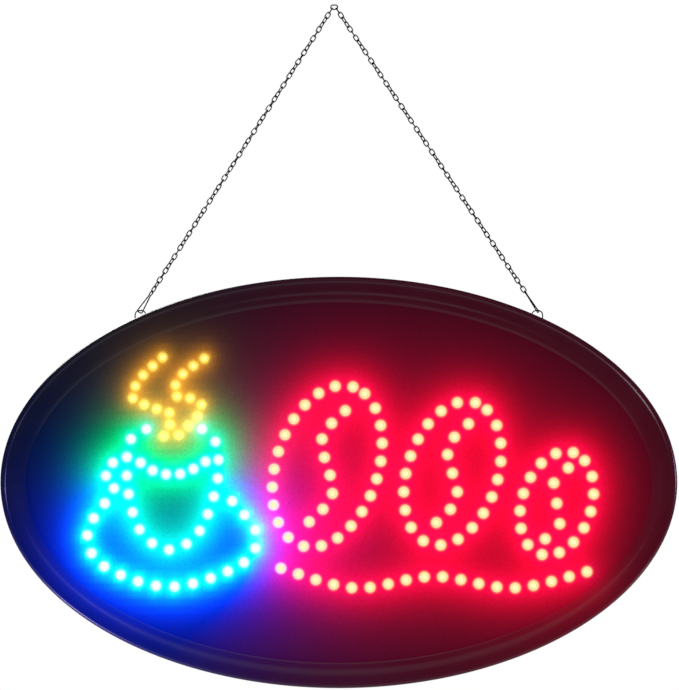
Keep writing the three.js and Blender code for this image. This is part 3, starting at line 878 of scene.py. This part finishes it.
def softCopy(node, name, width, segments, angle, smooth):  # a CAD node with fine rounded edges
    piece = copyOfNode(node, name)
    editMesh(piece)
    dissolveFlat()
    endEdit()
    finishWith(piece, "BEVEL", width=width * mm, segments=segments, limit_method="ANGLE",
               angle_limit=math.radians(angle), harden_normals=False)
    smoothShade(piece, smooth)
    return piece


gearHeight = coverLook["pocket"][1]
button = addTurned("mode_cap", at(coverLook["buttonX"], 0, gearHeight), buttonLook["profile"], 40)
smoothShade(button, 40)
fit(button, surfaceFinish("button_black", buttonLook), "mode_button", "switch_plastic", "mode_button")

switchFinish = surfaceFinish("switch_black", switchLook)
housing = softCopy("switch_housing", "switch_body", 0.3, 3, 40, 35)
fit(housing, switchFinish, "sign", "switch_plastic", "switch_housing")
rocker = softCopy("rocker", "switch_rocker", 0.28, 3, 12, 50)
fit(rocker, switchFinish, "rocker", "switch_plastic", "rocker")

jack = addTurned("jack", at(coverLook["jackX"], 0, gearHeight), jackLook["profile"], 40)
smoothShade(jack, 40)
fit(jack, surfaceFinish("jack_black", jackLook), "sign", "jack_plastic", "power_jack")
nut = softCopy("jack_nut", "nut", 0.3, 2, 50, 40)
fit(nut, surfaceFinish("nut_nickel", nutLook), "sign", "nickel", "jack_nut")
print("control gear made")


# Hanging gear

steelLook = {
    "dark": (0.0015, 0.0015, 0.0017), "light": (0.006, 0.006, 0.0065), "patch": 3, "grain": 0.35,
    "bump": 0.01, "roughness": (0.3, 0.5), "metallic": 0.3, "specular": 0.35,
}
hangLook = {
    "wire": 0.55, "gap": 0.3, "linkLength": 7, "linkWidth": 4.8, "twist": {"left": 45, "right": 75},
    "turn": 108, "wobble": 5, "eyeTop": 148.5, "eyeFoot": 134, "eyeBend": 2.6, "eyeCorner": 4.6,
    "halfBase": 3.2, "neckAt": 17.5, "neck": 0.75, "headAt": 19.8, "head": 1.75, "tip": 22.3, "corner": 1.4,
    "tipDrop": 0.57,  # the bent tip stands this much lower than its corner
}
steelFinish = surfaceFinish("chain_steel", steelLook)


def makeLink(name, major, minor):  # a ring with straight sides, long in X, flat in the XZ plane
    radius = hangLook["linkWidth"] / 2 - hangLook["wire"]
    half = (hangLook["linkLength"] - hangLook["linkWidth"]) / 2
    bpy.ops.mesh.primitive_torus_add(major_segments=major, minor_segments=minor, major_radius=radius * mm,
                                     minor_radius=hangLook["wire"] * mm, rotation=(math.pi / 2, 0, 0))
    link = settle(name)
    for side in (-1, 1):
        pickPoints(link, lambda point: point.x * side > 0.01 * mm)
        bpy.ops.transform.translate(value=(side * half * mm, 0, 0))
        endEdit()
    smoothShade(link, 80)
    return link


def makeEye(side, name, node):
    look = hangLook
    x, span, depth = side * rimLook["eyeX"], rimLook["eyeSpan"], rimLook["eyeDepth"]
    foot, top, bend = look["eyeFoot"], look["eyeTop"], look["eyeBend"]
    corners = [(x - span - bend, foot), (x - span, foot), (x - span, top), (x + span, top), (x + span, foot),
               (x + span + bend, foot)]
    path = roundedPath([at(a, depth, b) for a, b in corners], look["eyeCorner"])
    fit(addWire(name, path, look["wire"]), steelFinish, "sign", "black_steel", node)


topLow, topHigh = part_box("top_link")
topMiddle = (topLow + topHigh) / 2


def makeHalf(side, name, link):
    look = hangLook
    wire = look["wire"]
    eyeMiddle = at(side * rimLook["eyeX"], rimLook["eyeDepth"], look["eyeTop"])
    bend = topMiddle + Vector((side * (look["linkLength"] / 2 - wire) * mm, 0, 0))
    along = (bend - eyeMiddle).normalized()
    twist = math.radians(look["twist"][name])
    flat = Vector((along.z, 0, -along.x))
    across = flat * math.cos(twist) + Vector((0, math.sin(twist), 0))
    normal = Vector((1, 0, 0)).cross(across).normalized()
    seat = (2 * wire + look["gap"]) / abs(along.dot(normal))
    start = eyeMiddle - along * seat * mm

    def half(way):
        places = [(0.25, 0), (look["halfBase"], 0), (look["neck"], look["neckAt"]),
                  (look["head"], look["headAt"])]
        return [(way * a, b) for a, b in places]

    outline = half(1) + [(0, look["tip"])] + half(-1)[::-1]
    path = roundedPath([start + (across * a + along * b) * mm for a, b in outline], look["corner"])
    fit(addWire("hook_clip_" + name, path, wire), steelFinish, "chain", "black_steel", "clip_" + name)

    # The first link passes through the clip's head and the last one through the top link.
    reach = look["linkLength"] / 2 - wire
    first = start + along * (look["tip"] - look["tipDrop"] - 2 * wire) * mm
    straight = (look["linkLength"] - look["linkWidth"]) / 2
    free = look["linkWidth"] / 2 - 3 * wire
    last = topMiddle + Vector((side * straight * mm, 0, 0)) - along * free * mm
    run = (last - first).length / mm
    direction = (last - first).normalized()
    count = math.ceil((run - 2 * wire) / (2 * reach - 2 * wire))
    pitch = (run - 2 * reach) / (count - 1)
    wide = Vector((direction.z, 0, -direction.x))
    begin = look["twist"][name] + 90
    end = begin + look["turn"] * (count - 1)
    end = 180 * round((end - 90) / 180) + 90  # the last link stands across the top link
    shake = random.Random(11 if side < 0 else 12)
    links = []
    for i in range(count):
        angle = begin + (end - begin) * i / (count - 1)
        if 0 < i < count - 1:
            angle += shake.uniform(-1, 1) * look["wobble"]
        angle = math.radians(angle)
        width = wide * math.cos(angle) + Vector((0, math.sin(angle), 0))
        place = first + direction * (reach + i * pitch) * mm
        axes = Matrix((direction, direction.cross(width), width)).transposed().to_4x4()
        links.append(copyOf(link, "link", Matrix.Translation(place) @ axes))
    chain = joinAll(links, "chain_links_" + name)
    fit(chain, steelFinish, "chain", "black_steel", "chain_" + name)
    print("chain", name, "has", count, "links, pitch", round(pitch, 3))


makeEye(-1, "eye_wire_left", "eye_left")
makeEye(1, "eye_wire_right", "eye_right")
link = makeLink("one_link", 12, 5)
makeHalf(-1, "left", link)
makeHalf(1, "right", link)
bpy.data.objects.remove(link)
hookLink = makeLink("hook_ring", 40, 14)
hookLink.data.transform(Matrix.Translation(topMiddle))
fit(hookLink, steelFinish, "hook_link", "black_steel", "top_link")
print("hanging gear made")


# Finishes of the CAD nodes that stay

def wireLook(dark, light):
    return {"dark": dark, "light": light, "patch": 8, "grain": 0.5, "bump": 0.01, "roughness": (0.35, 0.5)}


insideLooks = {
    "board": {"dark": (0.012, 0.07, 0.03), "light": (0.03, 0.13, 0.055), "patch": 2.2, "grain": 0.5,
              "bump": 0.02, "roughness": (0.3, 0.45)},
    "chip_black": {"dark": (0.012, 0.012, 0.013), "light": (0.03, 0.03, 0.03), "patch": 1.5, "grain": 0.2,
                   "bump": 0.01, "roughness": (0.4, 0.6)},
    "connector_plastic": {"dark": (0.6, 0.58, 0.52), "light": (0.75, 0.73, 0.67), "patch": 3, "grain": 0.3,
                          "bump": 0.01, "roughness": (0.35, 0.5)},
    "capacitor_can": {"dark": (0.03, 0.035, 0.06), "light": (0.05, 0.055, 0.09), "patch": 2, "grain": 0.3,
                      "bump": 0.005, "roughness": (0.25, 0.4)},
    "zinc_screw": {"dark": (0.45, 0.46, 0.47), "light": (0.62, 0.62, 0.62), "patch": 1.5, "grain": 0.3,
                   "bump": 0.008, "roughness": (0.25, 0.4), "metallic": 1},
    "wire_yellow": wireLook((0.55, 0.36, 0.02), (0.68, 0.46, 0.04)),
    "wire_green": wireLook((0.02, 0.22, 0.07), (0.04, 0.3, 0.1)),
    "wire_blue": wireLook((0.02, 0.07, 0.35), (0.04, 0.11, 0.45)),
    "wire_red": wireLook((0.4, 0.015, 0.015), (0.52, 0.03, 0.025)),
}
insideFinishes = {name: surfaceFinish("inside_" + name, look) for name, look in insideLooks.items()}
insideNodes = {
    "controller_board": "board", "flasher_chip": "chip_black", "mode_switch": "chip_black",
    "lead_connector": "connector_plastic", "capacitor": "capacitor_can", "board_screw_1": "zinc_screw",
    "board_screw_2": "zinc_screw", "lead_yellow": "wire_yellow", "lead_green": "wire_green",
    "lead_blue": "wire_blue", "lead_red": "wire_red",
}
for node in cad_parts:
    if node.startswith("jumper_"):
        insideNodes[node] = "wire_" + stripColour(node)
for node, name in insideNodes.items():
    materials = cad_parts[node].data.materials
    materials.clear()
    materials.append(insideFinishes[name])
print("inside nodes finished:", len(insideNodes))


# Stage, light and camera

stageLook = {
    "drop": 0.75, "radius": 2.6, "clear": 0.9, "floor": (0.82, 0.81, 0.79), "floorRoughness": 0.6,
    "matt": 0.6, "gloss": 0.035, "aim": (0.00458, -0.2933), "distance": 4.9, "seen": 0.5948,
}
# Metres, as in the stage's dictionary. The lamps stand round the middle of the oval and aim at it.
lamps = {  # place, size, strength and colour
    "key": ((0.15, -1.75, 1.35), (0.9, 0.45), 2.4, (1, 1, 1)),
    "right": ((1.4, -0.3, 0.05), (0.12, 0.3), 15, (0.7, 0.52, 1)),
    "low_left": ((-0.75, -0.45, -0.8), (0.5, 0.12), 12, (1, 0.84, 0.98)),
    "low_right": ((0.85, -0.16, -0.55), (0.25, 0.12), 1, (1, 1, 1)),
    "back": ((-1.1, 1.5, 1.5), (1.0, 0.6), 60, (1, 1, 1)),
}


def makeFloor():  # pale under the sign, white further out
    look = stageLook
    height = cadBounds[0].z - look["drop"]
    bpy.ops.mesh.primitive_circle_add(vertices=96, radius=look["radius"], fill_type="NGON",
                                      location=(0, 0, height))
    floor = settle("floor")
    finish, nodes, links, shader = newFinish("floor_pale")
    place = nodes.new("ShaderNodeTexCoord")
    length = nodes.new("ShaderNodeVectorMath")
    length.operation = "LENGTH"
    flat = nodes.new("ShaderNodeVectorMath")
    flat.operation = "MULTIPLY"
    flat.inputs[1].default_value = (1, 1, 0)
    links.new(place.outputs["Object"], flat.inputs[0])
    links.new(flat.outputs["Vector"], length.inputs[0])
    edge = addRange(nodes, links, length.outputs["Value"], look["clear"], look["radius"] * 0.98, 0, 1)
    shader.inputs["Base Color"].default_value = (*look["floor"], 1)
    shader.inputs["Roughness"].default_value = look["floorRoughness"]
    white = nodes.new("ShaderNodeEmission")
    mix = nodes.new("ShaderNodeMixShader")
    links.new(edge, mix.inputs["Fac"])
    links.new(shader.outputs["BSDF"], mix.inputs[1])
    links.new(white.outputs["Emission"], mix.inputs[2])
    links.new(mix.outputs["Shader"], nodes["Material Output"].inputs["Surface"])
    floor.data.materials.append(finish)


# White behind the sign, soft on matt surfaces and dim in gloss.
def makeWorld():
    world = bpy.data.worlds.new("studio")
    bpy.context.scene.world = world
    world.use_nodes = True
    nodes, links = world.node_tree.nodes, world.node_tree.links
    ray = nodes.new("ShaderNodeLightPath")
    behind = nodes["Background"]
    behind.inputs["Color"].default_value = (1, 1, 1, 1)
    behind.inputs["Strength"].default_value = stageLook["matt"]
    shade = behind.outputs["Background"]
    for kind, strength in (("Is Glossy Ray", stageLook["gloss"]), ("Is Camera Ray", 1)):
        other = nodes.new("ShaderNodeBackground")
        other.inputs["Color"].default_value = (1, 1, 1, 1)
        other.inputs["Strength"].default_value = strength
        mix = nodes.new("ShaderNodeMixShader")
        links.new(ray.outputs[kind], mix.inputs["Fac"])
        links.new(shade, mix.inputs[1])
        links.new(other.outputs["Background"], mix.inputs[2])
        shade = mix.outputs["Shader"]
    links.new(shade, nodes["World Output"].inputs["Surface"])


def makeLamps():
    for name, (place, size, strength, colour) in lamps.items():
        bpy.ops.object.light_add(type="AREA", location=middle + Vector(place))
        lamp = bpy.context.object
        lamp.name = "lamp_" + name
        lamp.data.shape = "RECTANGLE"
        lamp.data.size, lamp.data.size_y = size
        lamp.data.energy = strength
        lamp.data.color = colour
        lamp.visible_camera = False
        lamp.rotation_euler = (-Vector(place)).to_track_quat("-Z", "Y").to_euler()


def makeCamera():
    look = stageLook
    x, z = look["aim"]
    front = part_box("front_rim")[0].y
    bpy.ops.object.camera_add(location=(x, front - look["distance"], z), rotation=(math.pi / 2, 0, 0))
    camera = bpy.context.object
    camera.name = "camera"
    camera.data.lens = camera.data.sensor_width * look["distance"] / look["seen"]
    camera.data.clip_end = 50
    bpy.context.scene.camera = camera


makeFloor()
makeWorld()
makeLamps()
makeCamera()
bpy.context.scene.view_settings.view_transform = "Standard"
print("stage set")
